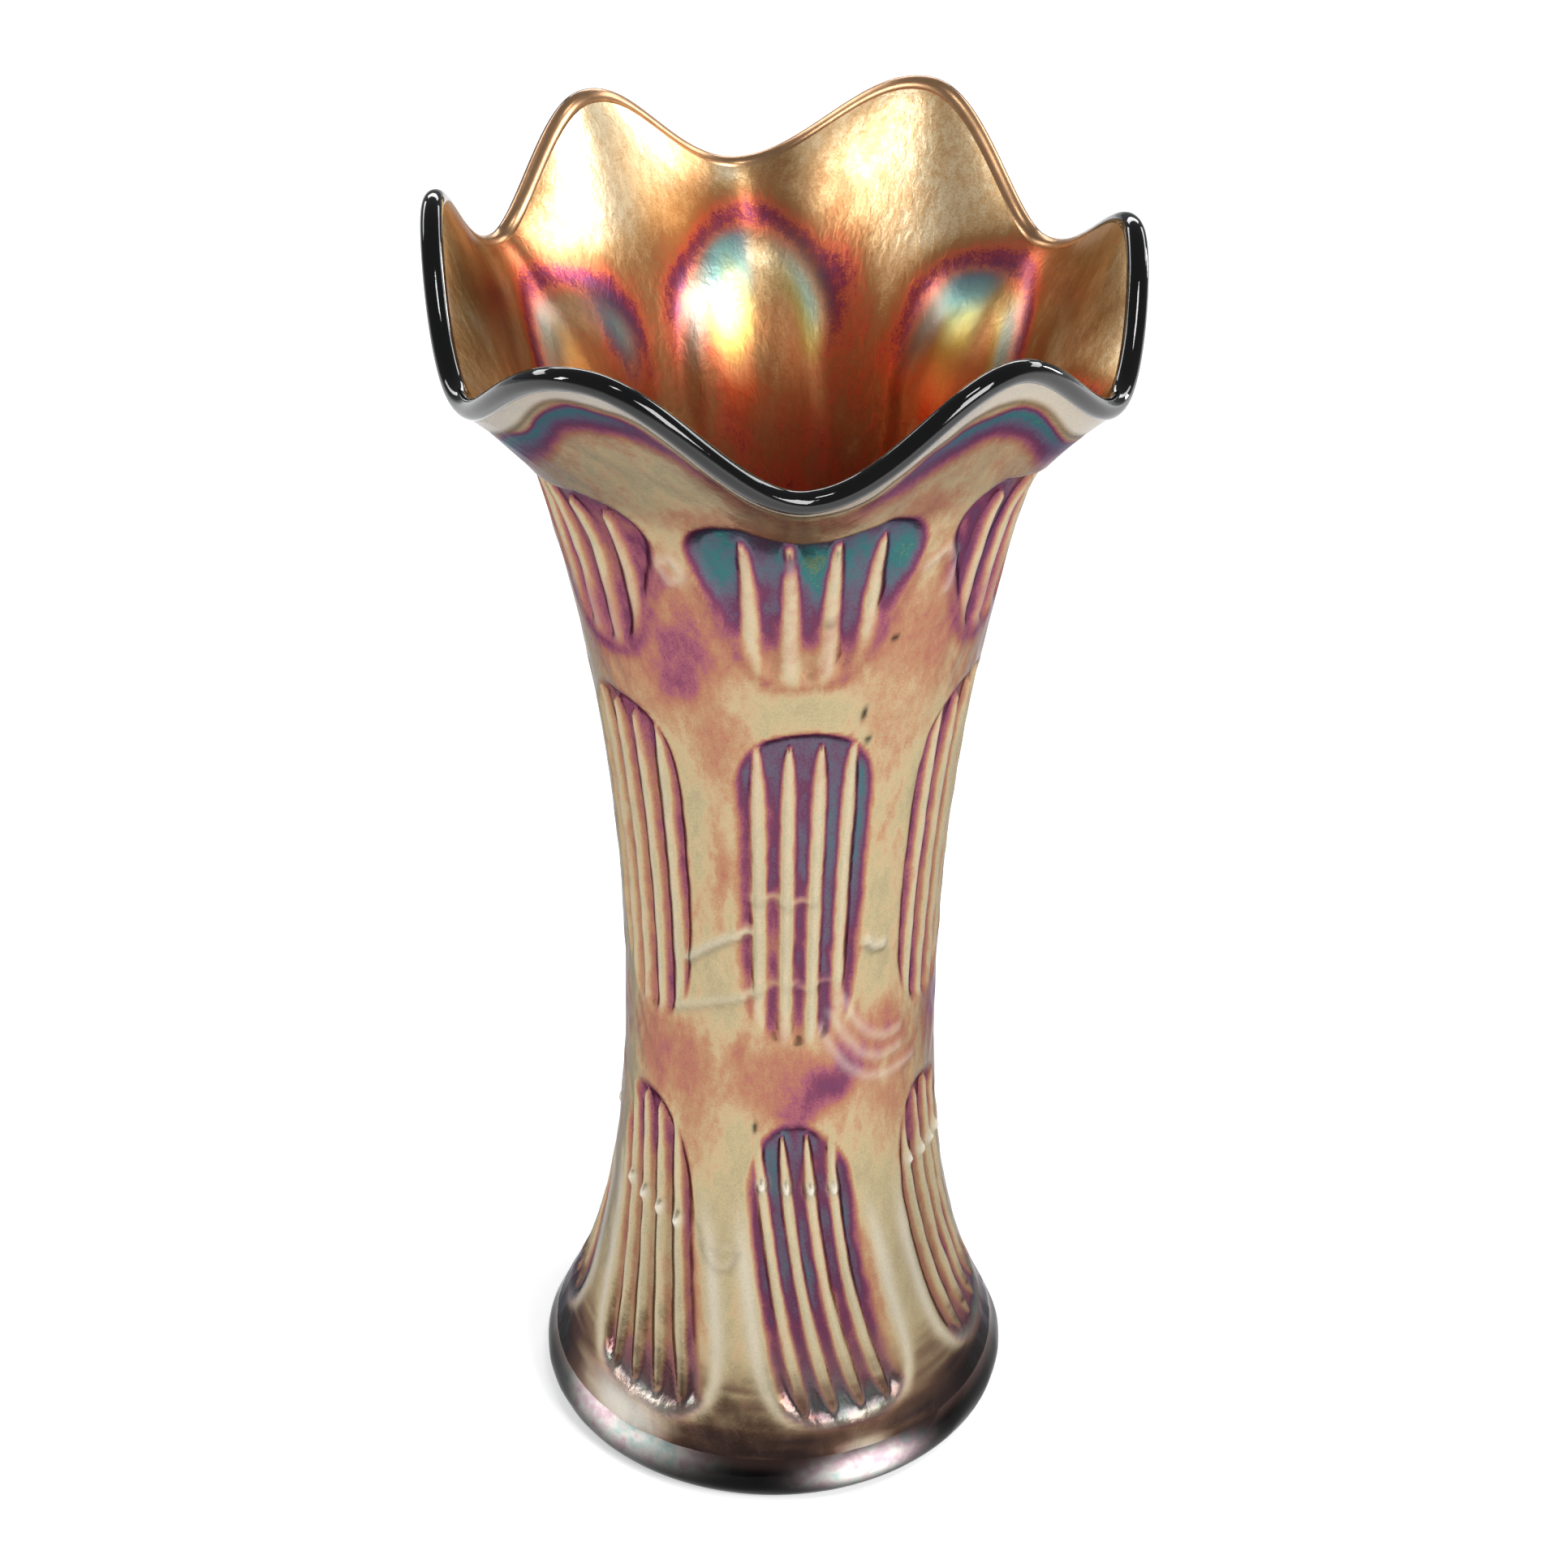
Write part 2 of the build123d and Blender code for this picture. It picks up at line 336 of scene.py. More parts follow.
def panel_fields(angle, height, flare_step):
    """Relief of the panels (mm, inwards), then 0 to 1: their grooves' lustre, painted highlights on the
    ribs' crests and on the flanks beside the panels, the fans' outline (a purple line with a painted
    soft shadow) and the toes of the bottom row."""
    column = np.round(wrap(angle - COLUMN_ANGLE) / PANEL_PITCH)
    relief, grooves, crest_highlight, flank_highlight, fan_edge, toe = np.zeros((6, *angle.shape))
    for neighbour in (-1, 0, 1):
        local = angle - (column + neighbour) * PANEL_PITCH
        near = np.abs(wrap(local - COLUMN_ANGLE)) < PANEL_PITCH
        for shape, deep, bank, colour_start in PANELS:
            distance, ribs, reach = shape(local, height, flare_step)
            pocket = ease(distance / bank) * near * (0.3 + 0.7 * reach) * ease((height - 9) / 17)
            relief = np.maximum(relief, deep * pocket * (1 - 0.92 * ribs))
            coloured = np.clip(distance / (0.7 * bank), 0, 1) * near * reach
            coloured = coloured * ease((height - colour_start) / 14)
            grooves = np.maximum(grooves, coloured * (1 - ease(1.3 * ribs)))
            crest_highlight = np.maximum(crest_highlight, pocket * ribs**4)
            flank_highlight = np.maximum(flank_highlight, near * bell(distance, -0.2, 1.5))
            if shape is top_panel:
                fan_edge = np.maximum(fan_edge, near * bell(distance, -0.6, 1.3))
            if shape is bottom_panel:
                toe = np.maximum(toe, near * bell(distance, 1.4, 2.0))
    toe = np.clip(1.2 * toe, 0, 1) * ease((22 - height) / 5)
    flank_highlight = flank_highlight * ease((66 - height) / 20) * ease((height - 12) / 6)
    fan_edge = fan_edge * (1 - grooves) * ease((206 - height) / 8)
    return relief, grooves, crest_highlight, flank_highlight, fan_edge, toe


# ---------------------------------------------------------------- marks of the outside
# A place is (angle, height, half width in degrees, half height, lean in degrees per mm).
# Film is how thick the lustre is, from 0 to 1, and picks its colour; these are some of the colours.
STRAW = 0.10
CREAM = 0.16
PURPLE = 0.60
BLUE = 0.80
LUSTRE_SPOTS = [  # place, film
    ((6, 173.5, 22, 5, 0), 0.07),
    ((-28, 182, 14, 14, 0.2), 0.47),
    ((-20, 165, 10, 10, 0), 0.29),
    ((38, 184, 11, 16, -0.1), 0.34),
    ((33, 168, 8, 12, 0), 0.24),
    ((-35, 90, 8, 13, 0), 0.34),
    ((-31, 74, 7, 9, 0), 0.26),
    ((0, 90, 20, 8, 0), 0.34),
    ((6, 82, 10, 5, 0), 0.42),
    ((20, 88.5, 11, 7, 0.3), 0.60),
    ((40, 99, 10, 7, 0), 0.33),
    ((42, 80, 13, 8, 0), 0.30),
    ((-20, 138, 3.5, 16, 0), 0.27),
    ((-42, 108, 9, 9, 0), 0.06),
    ((-8, 216, 16, 4, 0), 0.30),
    ((30, 216, 10, 5, 0), 0.30),
    ((-38, 197, 8, 8, 0.2), 0.20),
    ((45, 200, 8, 10, 0), 0.22),
    ((1.5, 206.5, 3, 2.2, 0), 0.62),
    # painted highlights along the bottom panels' side banks: gold on the right banks, cream on the left
    ((33, 42, 3.4, 20, -0.4), 0.27),
    ((-27, 42, 3.4, 20, -0.4), 0.24),
    ((-6, 40, 2.4, 20, -0.2), 0.0),
    ((-66, 40, 2.4, 20, -0.2), 0.0),
]


def hidden_spots(column):
    """Lustre spots on a column of panels that faces sideways or back."""
    rng = np.random.default_rng(40 + column)
    spots = []
    for height, film in ((88, 0.36), (94, 0.50), (182, 0.38), (168, 0.26), (72, 0.26)):
        angle = column * PANEL_PITCH + COLUMN_ANGLE + rng.uniform(-26, 26)
        if abs(wrap(angle)) > 48:
            spots.append(((angle, height, rng.uniform(7, 14), rng.uniform(6, 11), 0), film))
    return spots


for column in range(1, 6):
    LUSTRE_SPOTS += hidden_spots(column)

GROOVE_SPOTS = (  # place, film
    ((-16, 204, 9, 10, 0), 0.90),
    ((27, 205, 9, 10, 0), 0.90),
    ((6, 205, 13, 7, 0), 0.95),
    ((5, 182.5, 24, 6.5, 0), 0.28),
    ((16, 145, 10, 22, 0), 0.80),
    ((26, 152, 5, 20, 0), 0.88),
    ((-12, 158, 6, 8, 0), 0.80),
    ((6, 166, 20, 5, 0), 0.74),
    ((4, 106, 12, 7, 0), 0.50),
    ((4, 98, 14, 3.5, 0), 0.32),
    ((-13, 130, 4, 24, 0), 0.50),
    ((-4, 68, 6, 6, 0), 0.84),
    ((0, 50, 6, 10, 0), 0.76),
    ((20, 30, 16, 7, 0), 0.54),
    ((26, 18.5, 22, 3, 0), 0.84),
    ((20, 14.5, 22, 2, 0), 0.66),
    ((-54, 135, 24, 48, 0), 0.37),
    ((-74, 140, 12, 60, 0), 0.18),
    ((62, 140, 16, 44, 0), 0.42),
    ((78, 140, 12, 60, 0), 0.24),
    ((-52, 200, 20, 16, 0), 0.40),
    ((-46, 44, 26, 26, 0), 0.19),
    ((-31, 48, 3.5, 18, -0.3), 0.46),
    ((66, 46, 24, 34, 0), 0.29),
    ((-38, 20, 18, 4, 0), 0.56),
    ((-38, 15.5, 20, 2.5, 0), 0.92),
)
WRINKLES = (  # points (angle, height), width in mm, strength
    (((-36, 113.5), (-27, 118), (-20, 121), (-12, 123)), 0.9, 0.22),
    (((-41, 102), (-28, 105.5), (-18, 107.5), (-10, 109.5)), 0.9, 0.14),
    (((-11, 130.5), (-3, 131), (2, 129.5), (11, 130.5)), 0.7, 0.11),
    (((-9, 110), (0, 112), (8, 110.5), (20, 112)), 0.7, 0.08),
    (((30, 119), (33, 117.2), (37, 117)), 0.9, 0.28),
    (((-27, 52), (-24, 48.5), (-20, 47), (-16, 48), (-13, 52)), 0.9, 0.14),
    (((-29, 56), (-25, 52.2), (-20, 50.8), (-15, 52)), 0.9, 0.10),
    (((150, 118), (163, 121), (176, 119)), 0.9, 0.16),
    (((230, 100), (246, 104), (258, 102)), 0.9, 0.14),
)
ARCS = (  # points (angle, height)
    ((14, 101), (18, 96.5), (24, 91.5), (32, 87.8), (42, 86.2), (56, 86.5)),
    ((18, 104), (23, 98.5), (30, 93.5), (38, 91), (48, 91)),
    ((22, 107), (27, 101.5), (33, 97.5), (40, 95.3), (47, 95.3)),
    ((33, 201), (38, 204), (43, 200), (41, 194)),
    ((-29, 203), (-25, 205), (-23, 201), (-27, 199), (-29, 203)),
)
SPECKS = (  # places
    (22, 171, 0.8, 1.4, 0.2),
    (24, 165, 1.0, 0.8, 0.3),
    (28, 186.5, 1.0, 0.7, 0),
    (10.5, 192, 1.6, 0.5, 0),
    (-9, 79, 0.8, 1.1, 0),
)
KINK_HEIGHTS = {0: 65, -1: 54.5, 1: 62, 2: 58, -2: 61, 3: 66, -3: 66}  # by column of panels
LOBES = ((-38, 25), (41, 23), (100, 19), (160, 19), (216, 17), (268, 17))  # angle, half width
FOOT_GLINT_PATCHES = (  # places on the foot's edge with a painted highlight tinted in lustre colours
    (-43, 10.5, 15, 4, 0),
    (24, 6.5, 10, 2.4, 0),
)
# painted highlights near the foot, tinted in lustre colours
GLINT_PATCHES = (  # place of a bright patch near the foot, strength
    ((-44, 12, 17, 4.4, 0), 1.0),
    ((24, 10, 10, 2.5, 0), 0.7),
)
OUTSIDE_SHADOWS = (  # place, how much darker
    # painted shade: darker, greyer sides, a darker lower right, the flare under the left lobe and a
    # black skirt on both sides next to the foot
    ((62, 52, 28, 62, 0), 0.16),
    ((-80, 145, 20, 40, 0), 0.13),
    ((76, 122, 18, 60, 0), 0.20),
    ((48, 36, 22, 22, 0), 0.12),
    ((-42, 219, 20, 9, 0), 0.14),
    ((-84, 11, 22, 7, 0), 0.75),
    ((64, 11, 20, 7, 0), 0.75),
)


def kinked_bumps(angle, height):
    """Little bumps where the swung ribs of the bottom row kinked, with a painted highlight on them."""
    bumps = np.zeros(angle.shape)
    for column, kink in KINK_HEIGHTS.items():
        centre = column * PANEL_PITCH + swung_centre(kink)
        for rib in (-1.5, -0.5, 0.5, 1.5):
            place = (centre + rib * KINK_PITCH, kink - 0.6 * rib, 1.8, 1.3, 0)
            bumps = np.maximum(bumps, blob(angle, height, place))
    return bumps


def lattice_film(angle, height):
    """Lustre on the lattice between the panels."""
    film = STRAW + 0.045 * waves(3, angle, height, 24, 30) + 0.035 * waves(4, angle, height, 9, 12)
    film += 0.03 * waves(10, angle, height, 4, 5, 24) * ease((height - 40) / 30)
    film += 0.04 * ease((height - 150) / 25) - 0.03 * ease((75 - height) / 30)
    film += 0.13 * bell(height, 91, 9) + 0.07 * bell(height, 181, 13)
    ragged_angle = angle + 1.6 * waves(5, angle, height, 24, 24)
    ragged_height = height + 1.6 * waves(6, angle, height, 24, 24)
    for place, amount in LUSTRE_SPOTS:
        film = blend(film, amount, np.clip(1.1 * blob(ragged_angle, ragged_height, place), 0, 1))
    return film


def groove_film(angle, height):
    """Lustre in the panels' grooves."""
    film = PURPLE + 0.10 * waves(7, angle, height, 30, 40) + 0.07 * waves(8, angle, height, 8, 16)
    for place, amount in GROOVE_SPOTS:
        film = blend(film, amount, blob(angle, height, place))
    return film


def lip_bands(film, angle, height, below_lip, on_lobes):
    """Bands that follow the lip on the lobes: cream, then teal and purple further down."""
    wobble = below_lip + 0.5 * waves(12, angle, height, 24, 16)
    rise = ease((21.0 - wobble) / 9.0)
    fall = ease((13.8 - wobble) / 6.5)
    cream = ease((8.5 - wobble) / 3)
    band = 0.56 * rise + 0.36 * rise * fall
    target = band * (1 - cream) + CREAM * cream
    weight = on_lobes * ease((23 - wobble) / 5)
    return film * (1 - weight) + (0.22 * (1 - rise) + target * rise) * weight


def outer_fields(angle, height, flare_step, below_lip):
    """Relief (mm, inwards), lustre film, painted shade with dark specks, bare glass and painted
    highlights of the wall's outside.
    """
    relief, grooves, crest_highlight, flank_highlight, fan_edge, toe = panel_fields(angle, height, flare_step)
    bumps = kinked_bumps(angle, height)
    relief = relief - KINK_RISE * bumps

    film = blend(lattice_film(angle, height), groove_film(angle, height), grooves**0.6)
    film = blend(film, BLUE + 0.14 * waves(9, angle, height, 14, 9), toe)
    film = film + 0.15 * fan_edge
    # cream where the flanks and the kink bumps carry a painted highlight
    film = film * (1 - 0.85 * flank_highlight * (1 - grooves) * (1 - toe)) * (1 - bumps)

    # the lobes' bands, and a line and a strip of painted reflection next to the bead
    lobes = np.clip(1.3 * sum(bell(wrap(angle - a), 0, w) for a, w in LOBES), 0, 1)
    on_lobes = ease((flare_step - 0.05) / 0.15) * lobes
    on_flare = ease(flare_step / 0.2)
    below_lip = below_lip + 1.2 * waves(11, angle, 0, 30, 100)
    film = lip_bands(film, angle, height, below_lip, on_lobes)
    painted_highlight = 0.6 * ease((5.0 - below_lip) / 1.6) * on_flare
    relief = relief + 0.10 * bell(below_lip, 5.2, 0.7) * on_flare

    # fine wrinkles with a painted highlight on the ridge and a painted shadow beside it, arcs with a
    # painted highlight, and dark specks
    shade = np.full(angle.shape, 0.96)
    for points, width, strength in WRINKLES:
        line = stroke(angle, height, points, width)
        relief = relief - 1.9 * strength * line
        film = film * (1 - np.minimum(4 * strength, 0.8) * line)
        shade = shade * (1 - 1.4 * strength * stroke(angle, height + 1.3, points, 0.8))
        painted_highlight = np.maximum(painted_highlight, 1.4 * strength * line)
    for points in ARCS:
        line = stroke(angle, height, points, 1.0)
        relief = relief - 0.3 * line
        painted_highlight = np.maximum(painted_highlight, 0.25 * line)
        film = film + 0.05 * stroke(angle, height - 1.6, points, 1.3)
    for place in SPECKS:
        shade = shade * (1 - 0.85 * np.clip(1.6 * blob(angle, height, place), 0, 1))
    # a dark line under the bead, then painted shade: on the lobes' undersides, in the grooves (more in
    # the bottom row and at their lower ends) and a soft painted shadow along the fans' outline; darker
    # towards the bottom
    shade = shade * (1 - 0.45 * bell(below_lip, 5.3, 0.5) * on_flare) * (1 - 0.26 * on_lobes)
    shade = shade * (1 - 0.14 * grooves * (1 + ease((76 - height) / 12)))
    shade = shade * (1 - 0.2 * grooves * ease((24 - height) / 8))
    shade = shade * (1 - 0.10 * fan_edge) * (1 - 0.09 * ease((62 - height) / 26))
    for place, darker in OUTSIDE_SHADOWS:
        shade = shade * (1 - darker * blob(angle, height, place))

    # the lustre thins to bare dark glass towards the foot, but for two patches of painted highlight
    # tinted in lustre colours
    bare = 0.6 * ease((35 - height) / 17) + 0.4 * ease((17 - height) / 6)
    bare = bare * (1 + 0.18 * waves(13, angle, height, 50, 4))
    glint_patches = np.zeros(angle.shape)
    for place, strength in GLINT_PATCHES:
        glint_patches = np.maximum(glint_patches, strength * blob(angle, height, place))
    under_glint = np.clip(1.2 * glint_patches, 0, 1)
    bare = bare * (1 - under_glint) * (1 - 0.8 * grooves) * (1 - 0.8 * flank_highlight)
    film = blend(film, 0.55 + 0.3 * np.sin(height * 1.1 + angle * 0.2), np.clip(1.3 * glint_patches, 0, 1))
    # painted highlights: the glint patches, the kink bumps, the panels' flanks and the ribs' crests
    for bright in (glint_patches, 0.9 * bumps, 0.45 * flank_highlight * (1 - grooves), 0.22 * crest_highlight):
        painted_highlight = np.maximum(painted_highlight, bright)
    relief = relief + 0.07 * waves(21, angle, height, 14, 16) + 0.02 * waves(22, angle, height, 6, 7, 24)
    return relief, film, shade, bare, painted_highlight


# ---------------------------------------------------------------- marks of the inside
SWELL_CENTRES = (6, 66, 130, 188, 238, 306)  # angles
DIM_STREAK = 238  # the swelling whose streak is faint
INSIDE_SPOTS = (  # place, film
    # the spots at 214 and 188.5 degrees are painted highlights: pale cream patches
    ((214, 238, 16, 16, 0), 0.02),
    ((152, 236, 18, 14, 0), 0.08),
    ((186, 236, 9, 8, 0), 0.30),
    ((188.5, 230, 4, 5, 0), 0.0),
    ((166, 217, 7, 9, 0), 0.48),
    ((176, 206, 5, 9, 0), 0.16),
    ((208, 216, 6, 10, 0), 0.34),
    ((240, 232, 9, 10, 0), 0.36),
    ((120, 232, 12, 10, 0), 0.34),
    ((98, 235, 12, 12, 0), 0.20),
    ((224, 213, 6, 8, 0), 0.62),
    ((270, 238, 14, 14, 0), 0.34),
)
INSIDE_SHADOWS = (  # place, how much darker
    # painted shade: darker beside one swelling and in the pockets of the side lobes
    ((205, 203, 7, 12, 0), 0.30),
    ((266, 232, 15, 20, 0), 0.70),
    ((292, 240, 24, 20, 0), 0.90),
    ((100, 231, 13, 15, 0), 0.50),
    ((72, 240, 24, 20, 0), 0.75),
)
# painted glows: two bright warm patches on the inside
INSIDE_GLOWS = (  # place, tone of its streak
    ((176, 205, 5, 9, 0), 0.28),
    ((126, 206, 6, 9, 0), 0.32),
)


def inner_fields(angle, height, flare_step, below_lip):
    """The inside: soft swellings behind the top panels, edged in purple, each with a bright streak of
    iridescent colour and partly painted highlight. Returns relief (mm), lustre film, painted shade,
    how much streak there is and the streak's tone."""
    swell, streaks, teals = np.zeros((3, *angle.shape))
    film = 0.12 + 0.07 * waves(31, angle, height, 22, 25) + 0.03 * waves(32, angle, height, 8, 10)
    film += 0.20 * ease((228 - height) / 26) + 0.12 * ease((200 - height) / 26)
    for place, amount in INSIDE_SPOTS:
        film = blend(film, amount, blob(angle, height, place))
    for centre in SWELL_CENTRES:
        phi = wrap(angle - centre) + 0.7 * waves(33, angle, height, 40, 30)
        distance = (1 - outline(phi, height - 198, (21.5, 2.2), (26, 2.4), (90, 4)) ** 0.5) * 16
        near = np.abs(phi) < 40
        swell = np.maximum(swell, near * ease(distance / 6))
        edge = near * bell(distance, 0.4, 2.6) * ease((height - 192) / 24)
        film = blend(film, PURPLE, 0.84 * edge)
        teal = near * bell(distance, 4.2, 2.4) * ease((height - 198) / 14)
        teal = teal * (0.15 + 0.85 * ease(-(phi + 4) / 10) + 0.6 * ease((phi - 2) / 6))
        teals = np.maximum(teals, np.clip(teal, 0, 1))
        streak = np.exp(-(((phi - 4.5) / 5.2) ** 4)) * ease((height - 184) / 16)
        streak = streak * ease((distance - 1.0) / 2) * (0.35 if centre == DIM_STREAK else 1.0)
        streaks = np.maximum(streaks, near * streak)
    shade = np.ones(angle.shape)
    for place, darker in INSIDE_SHADOWS:
        shade = shade * (1 - darker * blob(angle, height, place))

    # teal beside the streaks and two painted warm glows, mixed in as streaks with tones of their own
    tone = np.clip((height + 1.5 * waves(34, angle, height, 10, 20) - 190) / 34, 0, 1)
    streaks = 0.88 * streaks
    extras = [(0.62 * teals, 0.86)]
    extras += [(0.6 * blob(angle, height, place), glow) for place, glow in INSIDE_GLOWS]
    for extra, extra_tone in extras:
        added = extra * (1 - streaks)
        tone = blend(tone, extra_tone, added / (added + streaks + 0.01))
        streaks = streaks + added
    return swell * ease((height - 90) / 40), film, shade, streaks, tone


# ---------------------------------------------------------------- materials
def srgb(r, g, b):
    linear = [(c / 255 / 12.92) if c <= 10 else ((c / 255 + 0.055) / 1.055) ** 2.4 for c in (r, g, b)]
    return (*linear, 1.0)


def new_material(name):
    material = bpy.data.materials.new(name)
    material.use_nodes = True
    tree = material.node_tree
    return material, tree, tree.nodes["Principled BSDF"]


def add_node(tree, kind, settings=None, **inputs):
    node = tree.nodes.new(kind)
    for key, value in (settings or {}).items():
        setattr(node, key, value)
    for key, value in inputs.items():
        socket = node.inputs[int(key[1:])] if key[0] == "i" and key[1:].isdigit() else node.inputs[key]
        if hasattr(value, "is_output"):
            tree.links.new(value, socket)
        else:
            socket.default_value = value
    return node


def maths(tree, operation, a, b=0.0, c=0.0, clamp=False):
    node = add_node(tree, "ShaderNodeMath", {"operation": operation, "use_clamp": clamp}, i0=a, i1=b)
    if operation == "MULTIPLY_ADD":
        if hasattr(c, "is_output"):
            tree.links.new(c, node.inputs[2])
        else:
            node.inputs[2].default_value = c
    return node.outputs[0]


def mixed(tree, factor, a, b, blend="MIX"):
    node = add_node(tree, "ShaderNodeMix", {"data_type": "RGBA", "blend_type": blend}, Factor=factor)
    for index, value in ((6, a), (7, b)):
        if hasattr(value, "is_output"):
            tree.links.new(value, node.inputs[index])
        else:
            node.inputs[index].default_value = value
    return node.outputs[2]


def attribute(tree, name):
    return add_node(tree, "ShaderNodeAttribute", {"attribute_name": name}).outputs["Fac"]


def noise(tree, scale, detail, distortion=0.0, stretch=(1, 1, 1), roughness=0.55):
    place = add_node(tree, "ShaderNodeTexCoord").outputs["Object"]
    shaped = add_node(tree, "ShaderNodeMapping", None, Vector=place, Scale=stretch).outputs[0]
    node = add_node(
        tree, "ShaderNodeTexNoise", None,
        Vector=shaped, Scale=scale, Detail=detail, Roughness=roughness, Distortion=distortion,
    )
    return node.outputs["Fac"]


def ramp(tree, factor, stops):
    node = add_node(tree, "ShaderNodeValToRGB", None, Fac=factor)
    band = node.color_ramp
    while len(band.elements) > 1:
        band.elements.remove(band.elements[-1])
    band.elements[0].position = stops[0][0]
    band.elements[0].color = srgb(*stops[0][1])
    for position, colour in stops[1:]:
        band.elements.new(position).color = srgb(*colour)
    return node.outputs["Color"]


OUTSIDE_FILM = (
    (0.00, (166, 150, 116)),
    (0.08, (172, 158, 121)),
    (0.16, (184, 161, 124)),
    (0.26, (172, 131, 98)),
    (0.35, (164, 108, 86)),
    (0.44, (148, 83, 99)),
    (0.52, (119, 62, 84)),
    (0.60, (104, 56, 83)),
    (0.70, (101, 81, 101)),
    (0.80, (90, 98, 110)),
    (0.90, (48, 112, 112)),
    (1.00, (112, 122, 84)),
)
INSIDE_FILM = (
    (0.00, (255, 236, 196)),
    (0.12, (216, 178, 128)),
    (0.24, (180, 132, 86)),
    (0.34, (184, 116, 76)),
    (0.44, (210, 106, 74)),
    (0.52, (156, 64, 80)),
    (0.62, (106, 56, 96)),
    (0.72, (84, 84, 116)),
    (0.82, (98, 146, 146)),
    (0.90, (170, 206, 180)),
    (1.00, (246, 232, 160)),
)
# bright tones that partly paint the swellings' highlights
STREAK_TONES = (  # from the streak's lower end to its top
    (0.00, (190, 80, 44)),
    (0.18, (234, 104, 56)),
    (0.34, (255, 168, 110)),
    (0.50, (232, 198, 102)),
    (0.66, (214, 216, 144)),
    (0.80, (150, 204, 196)),
    (0.92, (100, 132, 150)),
    (1.00, (120, 60, 110)),
)
# colours of the foot's painted highlight: white with teal and pink tints
FOOT_GLINT_COLOURS = (
    (0.35, (186, 230, 226)),
    (0.50, (255, 252, 244)),
    (0.62, (240, 206, 216)),
    (0.75, (180, 214, 208)),
)
BARE_GLASS = (  # from thinning lustre to bare glass
    (0.0, (200, 180, 136)),
    (0.5, (108, 80, 62)),
    (1.0, (66, 50, 46)),
)
BUMP_DISTANCE = 0.0004  # metres


def add_bump(tree, shader, height, strength):
    settings = {"Height": height, "Strength": strength, "Distance": BUMP_DISTANCE}
    bump = add_node(tree, "ShaderNodeBump", None, **settings)
    tree.links.new(bump.outputs[0], shader.inputs["Normal"])


def lustre_material(name, film_stops, metallic, roughness, edge_tint, streak_tones=None):
    """Lustre coloured by its film value, with partly painted streaks inside, painted highlights and bare
    glass outside.
    """
    material, tree, shader = new_material(name)
    cloud = noise(tree, 90, 5, 0.6)
    fine = noise(tree, 700, 4, 0.4, (1, 1, 0.45))
    grain = noise(tree, 2600, 2)
    film = maths(tree, "MULTIPLY_ADD", cloud, 0.16, -0.08)
    film = maths(tree, "ADD", film, attribute(tree, "film"))
    film = maths(tree, "ADD", film, maths(tree, "MULTIPLY_ADD", grain, 0.24, -0.12))
    film = maths(tree, "ADD", film, maths(tree, "MULTIPLY_ADD", fine, 0.20, -0.10), clamp=True)
    colour = ramp(tree, film, film_stops)
    if streak_tones:
        streak_colour = ramp(tree, attribute(tree, "tone"), streak_tones)
        colour = mixed(tree, attribute(tree, "streak"), colour, streak_colour)
        shader.inputs["Metallic"].default_value = metallic
    else:
        painted_highlight = attribute(tree, "painted_highlight")
        bare = attribute(tree, "bare")
        # painted highlight: a pale silver-white colour and less metal where highlights and reflections
        # are painted
        colour = mixed(tree, painted_highlight, colour, srgb(222, 215, 200))
        thinned = maths(tree, "MULTIPLY", bare, 1.5, clamp=True)
        colour = mixed(tree, thinned, colour, ramp(tree, bare, BARE_GLASS))
        tree.links.new(maths(tree, "MULTIPLY_ADD", painted_highlight, -0.6, metallic), shader.inputs["Metallic"])
    # the shade attribute darkens the colour: painted shade, and dark specks on the outside
    dust = maths(tree, "MULTIPLY_ADD", grain, 0.30, 0.83, clamp=True)
    shade = maths(tree, "MULTIPLY", attribute(tree, "shade"), dust)
    grey = add_node(tree, "ShaderNodeCombineColor", None, i0=shade, i1=shade, i2=shade).outputs[0]
    colour = mixed(tree, 1.0, colour, grey, "MULTIPLY")
    tree.links.new(colour, shader.inputs["Base Color"])
    rough = maths(tree, "MULTIPLY_ADD", cloud, 0.16, roughness - 0.08)
    tree.links.new(rough, shader.inputs["Roughness"])
    shader.inputs["Specular Tint"].default_value = edge_tint
    shader.inputs["Coat Weight"].default_value = 0.06
    shader.inputs["Coat Roughness"].default_value = 0.12
    add_bump(tree, shader, fine, 0.2)
    return material


def lip_material():
    """Near-black glass; the lustre of the inside runs up over its inner face at the back."""
    material, tree, shader = new_material("lip_dark_glass")
    cloud = noise(tree, 60, 4, 0.8)
    fine = noise(tree, 500, 3, 0.3)
    gild = attribute(tree, "gild")
    smear = maths(tree, "MULTIPLY_ADD", cloud, 2.2, -0.9, clamp=True)
    glass = mixed(tree, smear, srgb(2, 2, 2), srgb(9, 7, 7))
    gold = mixed(tree, fine, srgb(190, 152, 114), srgb(160, 118, 84))
    tree.links.new(mixed(tree, gild, glass, gold), shader.inputs["Base Color"])
    tree.links.new(maths(tree, "MULTIPLY", gild, 0.85), shader.inputs["Metallic"])
    rough = maths(tree, "MULTIPLY_ADD", gild, 0.26, maths(tree, "MULTIPLY_ADD", cloud, 0.05, 0.02))
    tree.links.new(rough, shader.inputs["Roughness"])
    shader.inputs["IOR"].default_value = 1.5
    add_bump(tree, shader, fine, 0.05)
    return material


